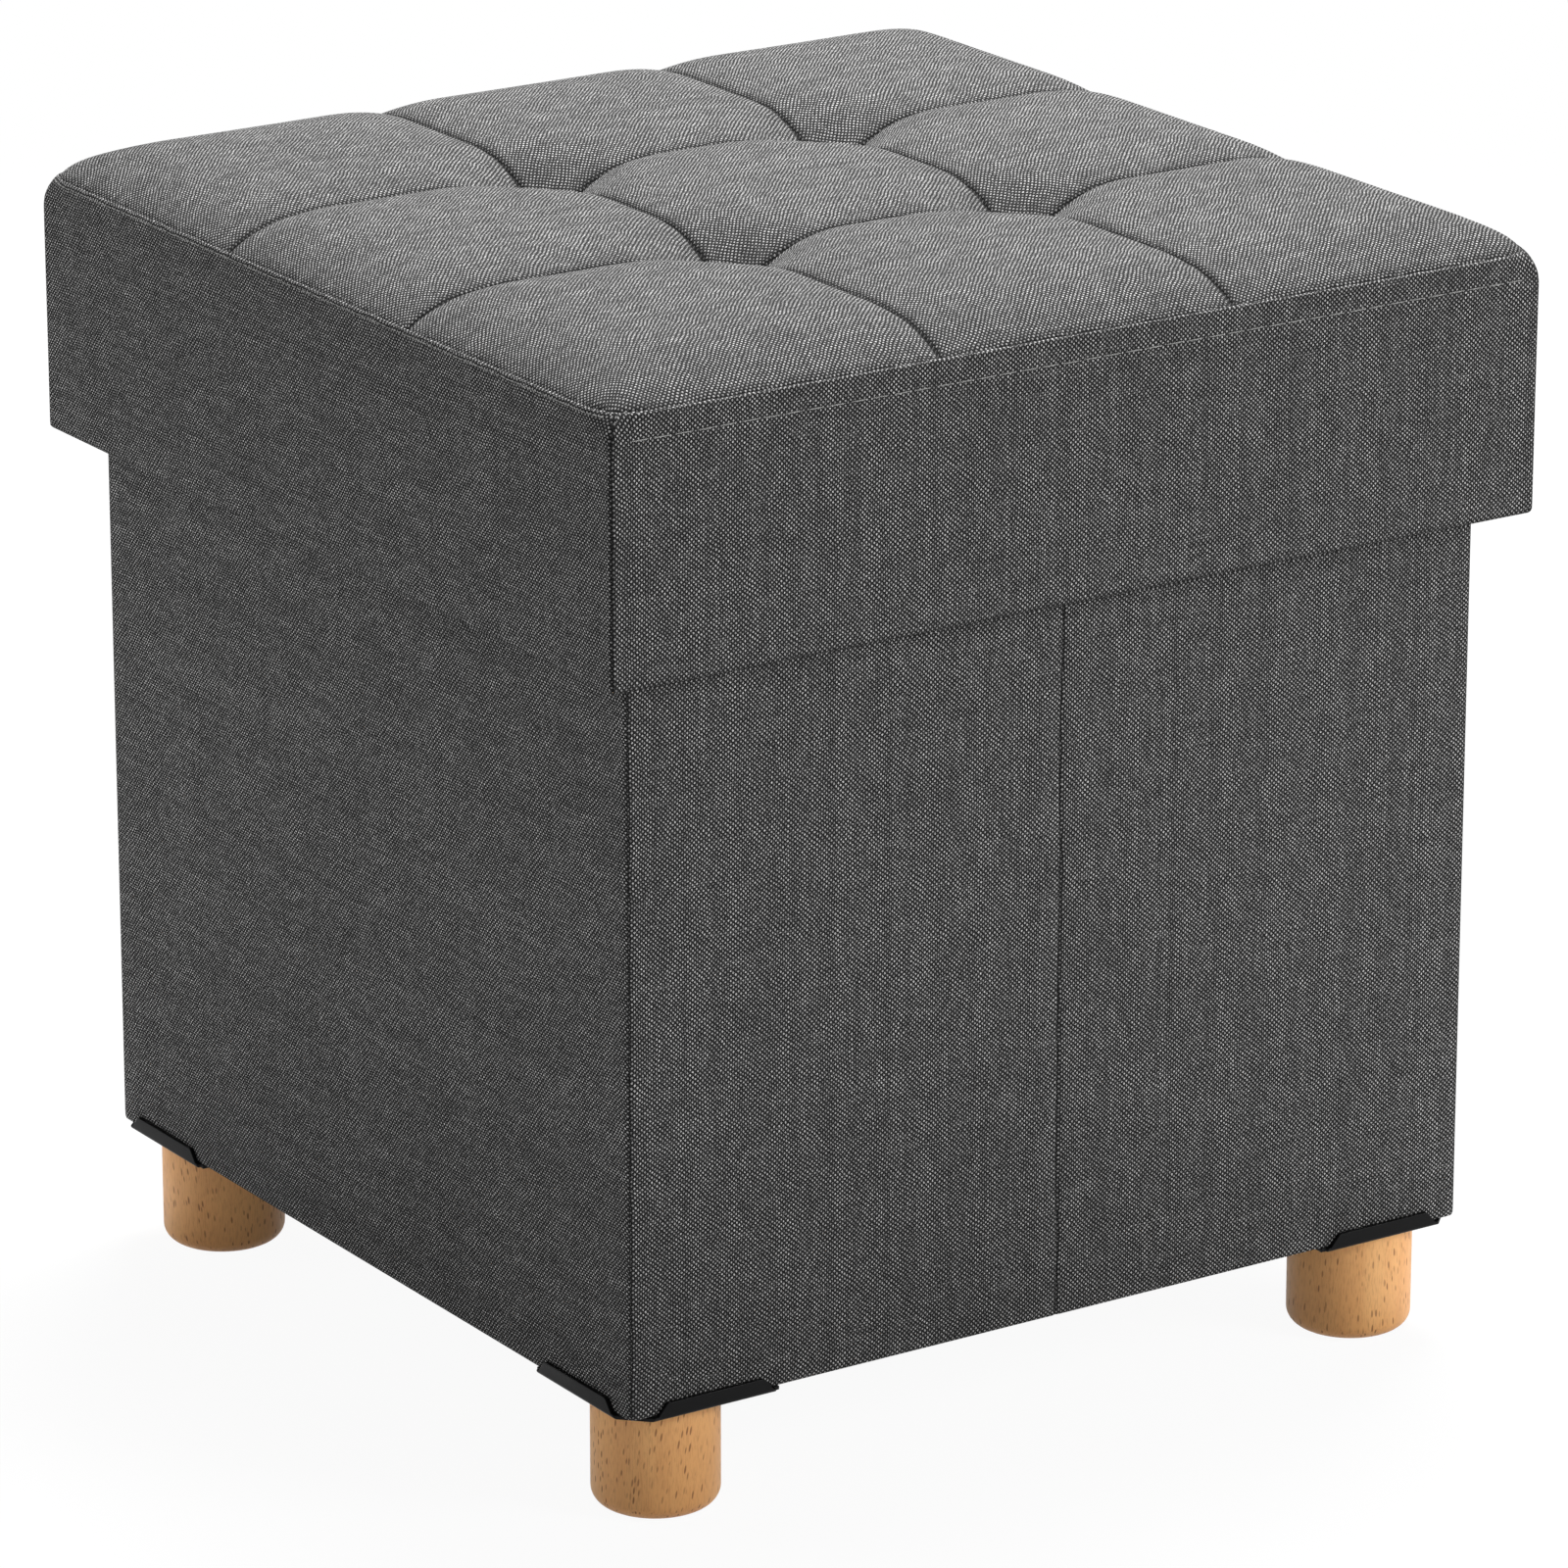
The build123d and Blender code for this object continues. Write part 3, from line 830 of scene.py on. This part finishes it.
def puff(bm, pressure, frames, cap):
    """Inflate the free pads with a cloth simulation and copy the capped result back."""
    mesh = bpy.data.meshes.new("puff")
    bm.verts.ensure_lookup_table()
    bm.to_mesh(mesh)
    blown = bpy.data.objects.new("puff", mesh)
    bpy.context.scene.collection.objects.link(blown)
    group = blown.vertex_groups.new(name="sewn_and_shade")
    held = [vert.index for vert in bm.verts if is_sewn(vert[column_layer], vert[row_layer])]
    group.add(held, 1.0, "REPLACE")
    modifier = blown.modifiers.new("cloth", "CLOTH")
    settings = modifier.settings
    settings.quality = 6
    settings.mass = 0.15
    settings.tension_stiffness = 25
    settings.compression_stiffness = 25
    settings.shear_stiffness = 12
    settings.bending_stiffness = 3
    settings.vertex_group_mass = "sewn_and_shade"
    settings.use_pressure = True
    settings.uniform_pressure_force = pressure
    settings.effector_weights.gravity = 0
    modifier.collision_settings.use_self_collision = False
    modifier.point_cache.frame_end = frames
    for frame_number in range(1, frames + 1):
        bpy.context.scene.frame_set(frame_number)
    seen = blown.evaluated_get(bpy.context.evaluated_depsgraph_get())
    moved = 0.0
    for vert, after in zip(bm.verts, seen.data.vertices):
        step = after.co - vert.co
        if step.length > cap:
            step = step.normalized() * cap
        vert.co += step
        moved = max(moved, step.length)
    bpy.context.scene.frame_set(1)
    bpy.data.objects.remove(blown)
    bpy.data.meshes.remove(mesh)
    print("pads moved up to", round(moved * 1000, 2), "mm")


puff(cushion_mesh, pressure=4.0, frames=20, cap=5 * mm)

# %% Lay the weave along the puffed cloth
def pad_of(index):
    """Which third of the top a column or row of faces is in: -1, 0 or 1."""
    if index < -tuft_column:
        return -1
    return 1 if index >= tuft_column else 0


def lay_by_length(bm):
    """UVs by length along the cloth, from the middle of each sewn pad."""
    at = {(vert[column_layer], vert[row_layer]): vert.co.copy() for vert in bm.verts}
    outer = tuft_column + last
    middles = {-1: -outer // 2, 0: 0, 1: outer // 2}

    def run(fixed, sideways):
        """Distance along one row or column from each pad's middle, by pad and index."""
        lengths = {}
        for pad, middle in middles.items():
            for direction in (1, -1):
                total = 0.0
                index = middle
                lengths[(pad, index)] = 0.0
                while -last <= index + direction <= last and abs(index - middle) < 20:
                    ahead = index + direction
                    here = (index, fixed) if sideways else (fixed, index)
                    there = (ahead, fixed) if sideways else (fixed, ahead)
                    total += (at[there] - at[here]).length
                    index = ahead
                    lengths[(pad, index)] = total * direction
        return lengths

    along_x = {row: run(row, True) for row in range(-last, last + 1)}
    along_y = {column: run(column, False) for column in range(-last, last + 1)}
    layer = bm.loops.layers.uv.new("weave")
    for face in bm.faces:
        pad_x = pad_of(min(loop.vert[column_layer] for loop in face.loops))
        pad_y = pad_of(min(loop.vert[row_layer] for loop in face.loops))
        for loop in face.loops:
            column = loop.vert[column_layer]
            row = loop.vert[row_layer]
            u = along_x[row][(pad_x, column)] + pad_x * 0.31
            v = along_y[column][(pad_y, row)] + pad_y * 0.47
            loop[layer].uv = (u, v)


lay_by_length(cushion_mesh)
print("weave laid over", len(cushion_mesh.faces), "faces")

# %% Sew the seams into the cushion
sewn_at = tuft_at * tuck_in
seam_beside = 1.1 * mm
seam_outside = 3.4 * mm
seam_sink = 1.7 * mm
line_reach = 0.2 * mm
for place in (tuft_at, -tuft_at):
    for gap in (-seam_outside, -seam_beside, seam_beside, seam_outside):
        for axis in (0, 1):
            cut(cushion_mesh, axis, place * tuck_in + gap)
creases = cushion_mesh.edges.layers.float.new("crease_edge")
sewn_and_shade = cushion_mesh.verts.layers.float.new("sewn_and_shade")
for vert in cushion_mesh.verts:
    away = [abs(abs(place) - sewn_at) for place in vert.co.xy]
    # Painted shade on each sewn line, and fainter beside it, where the pads' valleys are in shade.
    if min(away) < line_reach:
        vert.co.z -= seam_sink
        vert[sewn_and_shade] = 1.0
    elif any(near(distance, seam_beside, line_reach) for distance in away):
        vert[sewn_and_shade] = 0.4
for edge in cushion_mesh.edges:
    for axis in (0, 1):
        if all(near(abs(vert.co[axis]), sewn_at, line_reach) for vert in edge.verts):
            edge[creases] = 1.0
print("points on a sewn line:", sum(vert[sewn_and_shade] == 1.0 for vert in cushion_mesh.verts))

# %% Close the cushion underneath
edges = [edge for edge in cushion_mesh.edges if edge.is_boundary]
for reach, level in (
    (lid_half - 1.2 * mm, seam - 2 * mm),
    (lid_half - 1.2 * mm, skirt_board_top + 0.3 * mm),
    (lid_board_half - 0.4 * mm, skirt_board_top + 0.2 * mm),
    (lid_board_half - 0.4 * mm, lid_board_top + 0.2 * mm),
):
    points, edges = draw_on(cushion_mesh, edges)
    shrink = reach / max(abs(vert.co.x) for vert in points)
    bmesh.ops.scale(cushion_mesh, vec=(shrink, shrink, 1), verts=points)
    for vert in points:
        vert.co.z = level
two_sides = [edge for edge in edges if near(edge.verts[0].co.y, edge.verts[1].co.y, 1e-6)]
bmesh.ops.grid_fill(cushion_mesh, edges=two_sides)
bmesh.ops.recalc_face_normals(cushion_mesh, faces=cushion_mesh.faces[:])
print("open edges under the cushion:", sum(edge.is_boundary for edge in cushion_mesh.edges))
soft_nodes = ["lid_foam", "lid_top_cover"]
lid_cushion = make_piece("lid_cushion", cushion_mesh, upholstery, "lid", soft_nodes)
smooth = lid_cushion.modifiers.new("smooth", "SUBSURF")
smooth.levels = 1
smooth.render_levels = 1

# %% [markdown]
# ## Stitches
#
# The folding sides of the skirt carry a row of long stitches a finger's width below the top seam. The
# plain sides have short ones right under it. A dashed line in the material would look printed on, so
# one stitch is a small rounded bar that dips into the cloth at both ends. Hundreds of them are needed,
# so each has only a few dozen faces.

# %% Sew the rows
def stitch(bm, middle, along, outward, length, thick):
    """One stitch: a ball stretched along its seam and half sunk in the cloth."""
    up = along.cross(outward)
    stretch = Matrix((along * length / 2, up * thick / 2, outward * thick / 2)).transposed().to_4x4()
    lie_down = Matrix.Rotation(pi / 2, 4, "Y")
    matrix = Matrix.Translation(middle) @ stretch @ lie_down
    bmesh.ops.create_uvsphere(bm, u_segments=6, v_segments=5, radius=1.0, matrix=matrix)


def stitch_row(bm, side, drop, pitch, length, thick, out):
    """A row of stitches along one side of the lid, a drop below its top seam."""
    outward = Vector(side)
    along = Vector((0, 0, 1)).cross(outward)
    level = seam - drop
    count = int(2 * (lid_half - 4 * mm) / pitch)
    for number in range(count):
        place = (number + 0.5 - count / 2) * pitch
        jitter = noise.noise(Vector((place * 400, level * 100, outward.x))) * 0.15 * mm
        middle = outward * out + along * place + Vector((0, 0, level + jitter))
        stitch(bm, middle, along, outward, length, thick)
    print("row of", count, "stitches")


stitches = bmesh.new()
for side in ((1, 0, 0), (-1, 0, 0)):
    out = lid_half - 0.18 * mm
    stitch_row(stitches, side, drop=9 * mm, pitch=8.5 * mm, length=7.2 * mm, thick=0.55 * mm, out=out)
for side in ((0, 1, 0), (0, -1, 0)):
    out = lid_half - 0.12 * mm
    stitch_row(stitches, side, drop=1.6 * mm, pitch=3.3 * mm, length=3.1 * mm, thick=0.42 * mm, out=out)
ease_corners(stitches)
bmesh.ops.recalc_face_normals(stitches, faces=stitches.faces[:])
make_piece("skirt_stitches", stitches, thread, "lid")

# %% [markdown]
# ## Linings
#
# The inside of the box and of the lid is lined with thin non-woven cloth. The linings are sleeves and
# flat sheets like the covers, but thinner, and they end under the hems. The lid's lining is a sleeve
# too, with its top loop filled, so that it covers the underside of the lid board.

# %% Line the box
lining_corner = 1.5 * mm
lining_cuts = 17
box_lining_thickness = 0.5 * mm
lining_low, lining_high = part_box("box_lining")
lining_run = lining_high.z - lining_low.z
lining_path = [(0, lining_low.z), (0, lining_low.z + lining_run * 0.5), (0, lining_high.z)]
lining_mesh = sleeve(lining_high.x - 0.05 * mm, lining_corner, lining_cuts, lining_path)
bmesh.ops.solidify(lining_mesh, geom=lining_mesh.faces[:], thickness=box_lining_thickness)
lay_weave(lining_mesh)
make_piece("box_lining_cloth", lining_mesh, lining_finish, "box", ["box_lining"])

# %% Cover the base board
sheet_wave = 0.15 * mm
sheet_cuts = 24
flat_border = 20 * mm
base_low, base_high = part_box("base_cover")
base_half = base_high.x - 0.2 * mm
base_mesh = bmesh.new()
bmesh.ops.create_grid(base_mesh, x_segments=sheet_cuts, y_segments=sheet_cuts, size=base_half)
for vert in base_mesh.verts:
    inside = min(1.0, (base_half - max(abs(vert.co.x), abs(vert.co.y))) / flat_border)
    lift = (noise.noise(vert.co * 12 + Vector((2, 9, 5))) * 0.5 + 0.5) * sheet_wave * inside
    vert.co.z = base_high.z - 0.05 * mm - sheet_wave + lift
made = bmesh.ops.extrude_face_region(base_mesh, geom=base_mesh.faces[:])["geom"]
for item in made:
    if isinstance(item, bmesh.types.BMVert):
        item.co.z = base_low.z + 0.05 * mm
bmesh.ops.recalc_face_normals(base_mesh, faces=base_mesh.faces[:])
lay_weave(base_mesh)
make_piece("base_cloth", base_mesh, lining_finish, "box", ["base_cover"])

# %% Line the lid
lid_lining_thickness = 0.45 * mm
low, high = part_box("lid_lining")
lid_path = [(0, low.z), (0, (low.z + high.z) / 2), (0, high.z - 1.0 * mm), (0.6 * mm, high.z - 0.1 * mm)]
lid_mesh = sleeve(high.x - 0.05 * mm, lining_corner, lining_cuts, lid_path)
top_loop = [edge for edge in lid_mesh.edges if edge.is_boundary and edge.verts[0].co.z > high.z - 0.5 * mm]
bmesh.ops.edgeloop_fill(lid_mesh, edges=top_loop)
bmesh.ops.recalc_face_normals(lid_mesh, faces=lid_mesh.faces[:])
bmesh.ops.solidify(lid_mesh, geom=lid_mesh.faces[:], thickness=lid_lining_thickness)
lay_weave(lid_mesh)
make_piece("lid_lining_cloth", lid_mesh, lining_finish, "lid", ["lid_lining"])

# %% [markdown]
# ## The cloth under the box
#
# The bottom of the box is a flat sheet with a hole for each bolt. The CAD sheet has the holes already,
# so a merged copy of it is given soft edges by a bevel. The merging comes first: a CAD node's mesh is
# loose triangles, and a bevel needs faces that share their edges.

# %% Copy a CAD node with rounded edges
def rounded_copy(node, width, segments):
    """A CAD node's mesh with its triangles joined and its sharp edges rounded."""
    bm = bmesh.new()
    bm.from_mesh(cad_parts[node].data)
    bmesh.ops.remove_doubles(bm, verts=bm.verts[:], dist=1e-6)
    bmesh.ops.dissolve_limit(
        bm,
        angle_limit=radians(1.0),
        use_dissolve_boundaries=False,
        verts=bm.verts[:],
        edges=bm.edges[:],
    )
    bm.normal_update()
    sharp = [edge for edge in bm.edges if edge.is_manifold and edge.calc_face_angle(0) > radians(30)]
    bmesh.ops.bevel(
        bm,
        geom=sharp,
        offset=width,
        offset_type="OFFSET",
        segments=segments,
        profile=0.5,
        affect="EDGES",
        clamp_overlap=True,
        material=-1,
    )
    return bm


bottom_mesh = rounded_copy("bottom_cloth", 0.25 * mm, 2)
lay_weave(bottom_mesh)
make_piece(
    "bottom_sheet",
    bottom_mesh,
    lining_finish,
    "box",
    ["bottom_cloth"],
    smooth=False,
)

# %% [markdown]
# ## Corner brackets
#
# Each bracket is bent from sheet steel and powder coated. The coat rounds every cut edge, and that thin
# round is what catches the light along the top of a lip. A merged copy of the CAD bracket is bevelled
# by a third of a millimetre, and its flat faces keep flat shading by sharp-angle smoothing.

# %% Make the brackets
def smooth_by_angle(piece, angle):
    """Smooth shading, with edges sharper than the angle, in degrees, kept crisp."""
    mesh = piece.data
    mesh.shade_smooth()
    bm = bmesh.new()
    bm.from_mesh(mesh)
    for edge in bm.edges:
        edge.smooth = not (edge.is_manifold and edge.calc_face_angle(0) > radians(angle))
    bm.to_mesh(mesh)
    bm.free()


for corner in corners:
    name = f"{corner}_steel_bracket"
    bracket_mesh = rounded_copy(f"{corner}_bracket", 0.30 * mm, 3)
    bracket = make_piece(name, bracket_mesh, black_coat, "box", [f"{corner}_bracket"])
    smooth_by_angle(bracket, 32)

# %% [markdown]
# ## Turned legs
#
# A leg is turned on a lathe, and here it is too: half its outline is spun round the leg's axis. A
# cylinder would be quicker, but the outline also gives the bore that takes the hanger bolt. The foot
# gets a generous round, and the top a tiny one.

# %% Turn the legs
foot_round = 6 * mm
head_round = 0.5 * mm
bore_play = 0.05 * mm
bore_spare = 2 * mm


def round_end(bm, radius, level, width, segments):
    """Bevel the leg's outer edge at one level."""
    edges = []
    for edge in bm.edges:
        if all(near(hypot(*v.co.xy), radius, 0.4 * mm) and near(v.co.z, level, 1e-6) for v in edge.verts):
            edges.append(edge)
    bmesh.ops.bevel(
        bm,
        geom=edges,
        offset=width,
        segments=segments,
        profile=0.5,
        affect="EDGES",
        material=-1,
    )


def turned_leg(centre, radius, height, bore, bore_depth):
    """A closed leg with a bore in its top, spun from its outline."""
    bm = bmesh.new()
    outline = [
        (0, 0),
        (radius * 0.5, 0),
        (radius, 0),
        (radius, height * 0.5),
        (radius, height),
        (bore, height),
        (bore, height - bore_depth),
        (0, height - bore_depth),
    ]
    points = [bm.verts.new((x, 0, z)) for x, z in outline]
    edges = [bm.edges.new(pair) for pair in zip(points, points[1:])]
    bmesh.ops.spin(
        bm,
        geom=points + edges,
        cent=(0, 0, 0),
        axis=(0, 0, 1),
        dvec=(0, 0, 0),
        angle=2 * pi,
        steps=72,
        use_merge=True,
        use_duplicate=False,
    )
    bmesh.ops.remove_doubles(bm, verts=bm.verts[:], dist=1e-6)
    bmesh.ops.recalc_face_normals(bm, faces=bm.faces[:])
    round_end(bm, radius, 0, foot_round, 8)
    round_end(bm, radius, height, head_round, 2)
    bmesh.ops.translate(bm, verts=bm.verts[:], vec=(centre[0], centre[1], 0))
    return bm


for number, corner in enumerate(corners):
    leg_low, leg_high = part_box(f"{corner}_leg")
    bolt_low, bolt_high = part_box(f"{corner}_hanger_bolt")
    centre = (leg_low + leg_high) / 2
    leg_radius = (leg_high.x - leg_low.x) / 2
    bore = (bolt_high.x - bolt_low.x) / 2 + bore_play
    bore_depth = leg_high.z - bolt_low.z + bore_spare
    leg_mesh = turned_leg(centre, leg_radius, leg_high.z, bore, bore_depth)
    wood = beech(f"beech_{corner}", centre, turn=0.7 + number * 1.9)
    body = f"{corner}_leg_set"
    leg = make_piece(f"{corner}_turned_leg", leg_mesh, wood, body, [f"{corner}_leg"])
    smooth_by_angle(leg, 40)

# %% [markdown]
# ## Floor, light and camera
#
# The stage is a pale floor that the camera sees as white, while the object's light and shadow on it
# stay real. Light Path does that: camera rays see a plain white glow mixed over the floor, and all
# other rays see pale matt paint. A soft lamp overhead and a little behind lights the cushion and leaves
# the slopes that face the camera darker. One from the right lights the creased wall, and a weak one
# fills the front wall.

# %% The floor
def stage_floor():
    """A large pale floor. Camera, mirror and glass rays see it nearly white."""
    paint = new_material("pale_floor")
    seen = paint.rays("Is Camera Ray", "Is Glossy Ray", "Is Transmission Ray")
    at = paint.place()
    x, y, _ = paint.split(at)
    # The shadow shows near the object only, and far away the floor is as white as the world.
    far = ((x ** 2 + y ** 2) ** 0.5).ramp(0.7, 1.8, 0.94, 1.0)
    grain = paint.noise(at, 3.0, 2)
    pale = paint.mix(grain * 0.02, (0.90, 0.90, 0.90, 1), (0.86, 0.86, 0.86, 1))
    matt = paint.add("ShaderNodeBsdfDiffuse", {}, {"Color": pale, "Roughness": 0.5})
    white = paint.add("ShaderNodeEmission", {}, {"Color": (1, 1, 1, 1), "Strength": 1.0})
    surface = paint.add("ShaderNodeMixShader", {}, {0: seen * far, 1: matt, 2: white})
    paint.add("ShaderNodeOutputMaterial", {}, {"Surface": surface})
    # It lies a hair below the feet, because two faces in one place would flicker.
    bm = bmesh.new()
    bmesh.ops.create_grid(bm, x_segments=2, y_segments=2, size=6.0)
    bmesh.ops.translate(bm, verts=bm.verts[:], vec=(0, 0, -0.2 * mm))
    mesh = bpy.data.meshes.new("studio_floor")
    bm.to_mesh(mesh)
    bm.free()
    mesh.materials.append(paint.owner)
    floor = bpy.data.objects.new("studio_floor", mesh)
    bpy.context.scene.collection.objects.link(floor)
    return floor


print("floor:", stage_floor().name)

# %% The white surroundings
def studio_world():
    """White to the camera, and a weak even light for everything else."""
    air = Finish(bpy.data.worlds.new("studio"))
    seen = air.rays("Is Camera Ray", "Is Transmission Ray")
    lit = air.add("ShaderNodeBackground", {}, {"Color": (1, 1, 1, 1), "Strength": 0.17})
    sky = air.add("ShaderNodeBackground", {}, {"Color": (1, 1, 1, 1), "Strength": 1.0})
    surface = air.add("ShaderNodeMixShader", {}, {0: seen, 1: lit, 2: sky})
    air.add("ShaderNodeOutputWorld", {}, {"Surface": surface})
    return air.owner


bpy.context.scene.world = studio_world()
print("world:", bpy.context.scene.world.name)

# %% Lamps
def lamp(name, place, size, power):
    """A square soft lamp that looks at the middle of the ottoman."""
    light = bpy.data.lights.new(name, "AREA")
    light.shape = "SQUARE"
    light.size = size
    light.energy = power
    holder = bpy.data.objects.new(name, light)
    bpy.context.scene.collection.objects.link(holder)
    holder.location = place
    direction = Vector((0, 0, 0.22)) - Vector(place)
    holder.rotation_euler = direction.to_track_quat("-Z", "Y").to_euler()
    print(f"{name}: {power} W, {size} m wide")


lamp("overhead_lamp", (-0.5, 0.55, 2.35), 1.1, 150)
lamp("right_lamp", (2.2, 1.4, 1.35), 0.9, 38)
lamp("left_lamp", (-2.0, -1.8, 1.3), 0.9, 14)

# %% Camera
look_down = radians(18.435)
swing = radians(56.614)
camera_data = bpy.data.cameras.new("camera")
camera_data.sensor_width = 36
camera_data.lens = 197.43
camera_data.clip_end = 50
camera = bpy.data.objects.new("camera", camera_data)
bpy.context.scene.collection.objects.link(camera)
camera.location = (2.4411, -1.6066, 1.1637)
camera.rotation_euler = (pi / 2 - look_down, 0, swing)
bpy.context.scene.camera = camera
bpy.context.scene.view_settings.view_transform = "Standard"
print("camera:", camera_data.lens, "mm lens,", round(camera.location.length, 2), "m away")

# %% Finish
bpy.context.view_layer.update()
